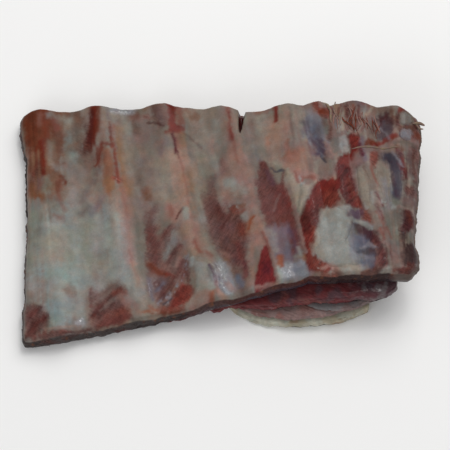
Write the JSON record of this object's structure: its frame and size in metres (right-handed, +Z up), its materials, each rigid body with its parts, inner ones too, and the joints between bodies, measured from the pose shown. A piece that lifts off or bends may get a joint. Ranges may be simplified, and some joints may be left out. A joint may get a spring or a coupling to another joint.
{
  "type": "raw wild boar ribs",
  "caption": "Flat rack of raw wild boar ribs lying inner side up, thin at one end and raised at the other on outer layers of meat and fat.",
  "frame": {"origin": "under the middle of the rack, on the surface it lies on", "axes": "+Z up, +X along the rack from its thin end to its thick end, +Y from the ragged front edge to the sawn back edge"},
  "size_m": [0.2432, 0.1567, 0.0453],
  "materials": {
    "rib_sheet_meat": "wet raw meat between the ribs under a thin pale membrane",
    "bone": "raw bone with a damp, slightly pink surface",
    "pad_fat": "soft cream fat, wet and slightly glossy",
    "gristle": "bluish white gristle, smooth and wet",
    "dark_meat": "dark red raw meat, wet",
    "fascia": "white connective sheet, wet",
    "pink_meat": "pale pink meat with thin bands of fat, damp",
    "cover_fat": "cream outer fat, soft and damp"
  },
  "bodies": {
    "root": {"rib_sheet": "rib_sheet_meat", "rib_1": "bone", "rib_2": "bone", "rib_3": "bone", "rib_4": "bone", "rib_5": "bone", "rib_6": "bone", "rib_7": "bone", "rib_8": "bone", "fat_pad_broad": "pad_fat", "fat_pad_long": "pad_fat", "fat_pad_neck": "pad_fat", "gristle_corner": "gristle", "gristle_inner": "gristle", "outer_dark_meat": "dark_meat", "outer_fascia": "fascia", "outer_pink_meat": "pink_meat", "outer_fat": "cover_fat"}
  },
  "joints": []
}
